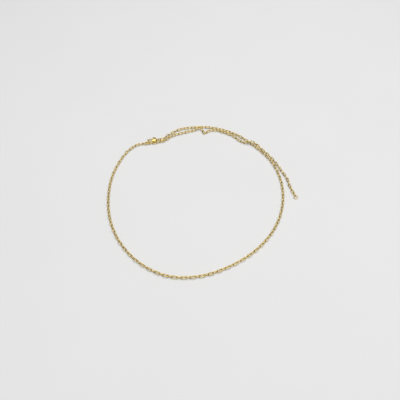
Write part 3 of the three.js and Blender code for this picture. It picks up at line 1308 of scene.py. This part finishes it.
    def lever(self) -> bpy.types.Mesh:
        """Shapes the lever: the boss on the rivet, the gate arm and the thumb tab.

        Returns:
            Its mesh, in the part.
        """
        arm = bmesh.new()
        px, py = self.pivot
        inner = self.rivet / 2.0 + self.rivet_play
        collar(
            arm, (px, py, self.middle), (self.boss + inner) / 2.0, (self.boss - inner) / 2.0,
            self.lever_thickness / 2.0, squareness=0.45,
        )
        radius = self.half_width - self.hook_wire / 2.0
        nose = heading(self.nose_angle) * radius
        tip = Vector((self.hook_reach, 0.0, 0.0)) + nose
        pivot = Vector((px, py, 0.0))
        back = (pivot - tip).normalized()
        end = tip + back * self.clearance
        tall = self.lever_thickness / 2.0
        quarter = Matrix.Rotation(math.pi / 2.0, 4, "Y")
        gate_turn = Matrix.Rotation(math.atan2(-back.y, -back.x), 4, "Z")
        reach = (end - pivot).length
        gate = []
        for step in range(9):
            t = step / 8.0
            out = self.gate_root + (reach - self.gate_root) * t
            bow = self.gate_bow * math.sin(math.pi * t)
            wide = self.gate_width / 2.0 * (1.0 + 0.15 * (1.0 - t) ** 2)
            where = Matrix.Translation((px, py, self.middle)) @ gate_turn
            size = Matrix.Diagonal((1.0, wide, tall * (1.0 - 0.18 * t), 1.0))
            gate.append(where @ Matrix.Translation((out, bow, 0.0)) @ size @ quarter)
        sweep(arm, self.rounded_end(gate, self.gate_width / 2.0), 12)
        tab_turn = Matrix.Rotation(-math.pi / 2.0, 4, "Z")
        far = self.half_width + self.tab_reach + py
        tab = []
        for step in range(7):
            t = step / 6.0
            out = self.tab_root + (far - self.tab_root) * t
            wide = self.tab_width / 2.0 * (0.86 + 0.14 * t)
            where = Matrix.Translation((px, py, self.middle)) @ tab_turn
            size = Matrix.Diagonal((1.0, wide, tall * (0.92 + 0.08 * t), 1.0))
            tab.append(where @ Matrix.Translation((out, 0.0, 0.0)) @ size @ quarter)
        sweep(arm, self.rounded_end(tab, self.tab_width / 2.4), 12)
        casting = self.fused(arm, "lever_forms", self.lever_voxel, 2)
        return mesh_of(casting, "claw_lever", self.place())

    def build(self, cast: bpy.types.Material, sprung: bpy.types.Material) -> None:
        """Builds the claw, its rivet and its lever.

        Args:
            cast: The claw's and the rivet's finish.
            sprung: The lever's finish.
        """
        piece(self.body(), Body.NECKLACE, Slot.CLASP, cast, "clasp_body")
        piece(self.rivet_mesh(), Body.NECKLACE, Slot.CLASP, cast)
        piece(self.lever(), Body.LEVER, Slot.LEVER, sprung, "clasp_lever")


# --- The studio ---


@dataclass
class SoftLight:
    """One large soft lamp.

    Attributes:
        name: What it is called.
        place: Where it stands, in metres.
        aim: What it points at, in metres.
        size: Its width and height, in metres.
        power: Its power in watts.
        colour: Its colour.
    """

    name: str
    place: tuple[float, float, float]
    aim: tuple[float, float, float]
    size: tuple[float, float]
    power: float
    colour: Colour = (1.0, 1.0, 1.0)

    def build(self) -> None:
        """Hangs the lamp."""
        lamp = bpy.data.lights.new(self.name, "AREA")
        lamp.shape = "RECTANGLE"
        lamp.size, lamp.size_y = self.size
        lamp.energy = self.power
        lamp.color = self.colour
        stand = bpy.data.objects.new(self.name, lamp)
        stand.location = self.place
        way = Vector(self.aim) - Vector(self.place)
        stand.rotation_euler = way.to_track_quat("-Z", "Y").to_euler()
        bpy.context.scene.collection.objects.link(stand)


@dataclass
class Studio:
    """The pale surface, the soft lamps and the camera.

    Attributes:
        camera_place: Where the camera is, in metres.
        elevation: How far it looks down, in radians.
        lens: Its focal length in millimetres.
        sensor: Its sensor's width in millimetres.
        sky: How bright the room round it is.
        floor_half: Half the surface's width, in metres.
        lamps: The soft lamps.
    """

    camera_place: tuple[float, float, float] = (-0.00179, -0.2207, 0.26758)
    elevation: float = math.radians(51.3)
    lens: float = 41.76
    sensor: float = 36.0
    sky: float = 0.25
    floor_half: float = 3.0
    lamps: tuple[SoftLight, ...] = (
        SoftLight("key", (0.12, 0.05, 1.1), aim=(0.02, 0.0, 0.0), size=(1.6, 1.6), power=15.2),
        SoftLight("back", (0.0, 1.5, 1.85), aim=(0.0, 0.0, 0.0), size=(0.8, 0.8), power=1.8),
    )

    def floor(self) -> None:
        """Lays the surface under the necklace."""
        sheet = bmesh.new()
        bmesh.ops.create_grid(sheet, x_segments=4, y_segments=4, size=self.floor_half)
        mesh = mesh_of(sheet, "surface", Matrix.Identity(4))
        mesh.materials.append(PaleSurface().material())
        thing = bpy.data.objects.new("surface", mesh)
        bpy.context.scene.collection.objects.link(thing)

    def camera(self) -> None:
        """Sets up the camera."""
        data = bpy.data.cameras.new("camera")
        data.lens = self.lens
        data.sensor_width = self.sensor
        data.clip_start = 0.005
        thing = bpy.data.objects.new("camera", data)
        thing.location = self.camera_place
        thing.rotation_euler = (math.pi / 2.0 - self.elevation, 0.0, 0.0)
        bpy.context.scene.collection.objects.link(thing)
        bpy.context.scene.camera = thing

    def room(self) -> None:
        """Lights the room evenly and keeps the colours as they are."""
        world = bpy.data.worlds.new("room")
        world.use_nodes = True
        back = world.node_tree.nodes["Background"]
        back.inputs["Color"].default_value = (1.0, 1.0, 1.0, 1.0)
        back.inputs["Strength"].default_value = self.sky
        bpy.context.scene.world = world
        bpy.context.scene.view_settings.view_transform = "Standard"

    def build(self) -> None:
        """Builds the whole studio."""
        self.camera()
        self.room()
        self.floor()
        for lamp in self.lamps:
            lamp.build()
        LOG.info("studio: camera, surface and %d lamps", len(self.lamps))


def main() -> None:
    """Builds the studio and the necklace."""
    logging.basicConfig(level=logging.INFO, format="%(name)s: %(message)s")
    Studio().build()
    LobsterClaw().build(CLASP_GOLD_WITH_PAINTED_SHADE.material(), LEVER_GOLD.material())
    Rings().build(RING_GOLD_WITH_PAINTED_SHADE.material())
    Chain().build(CHAIN_GOLD.material())


if __name__ == "__main__":
    main()
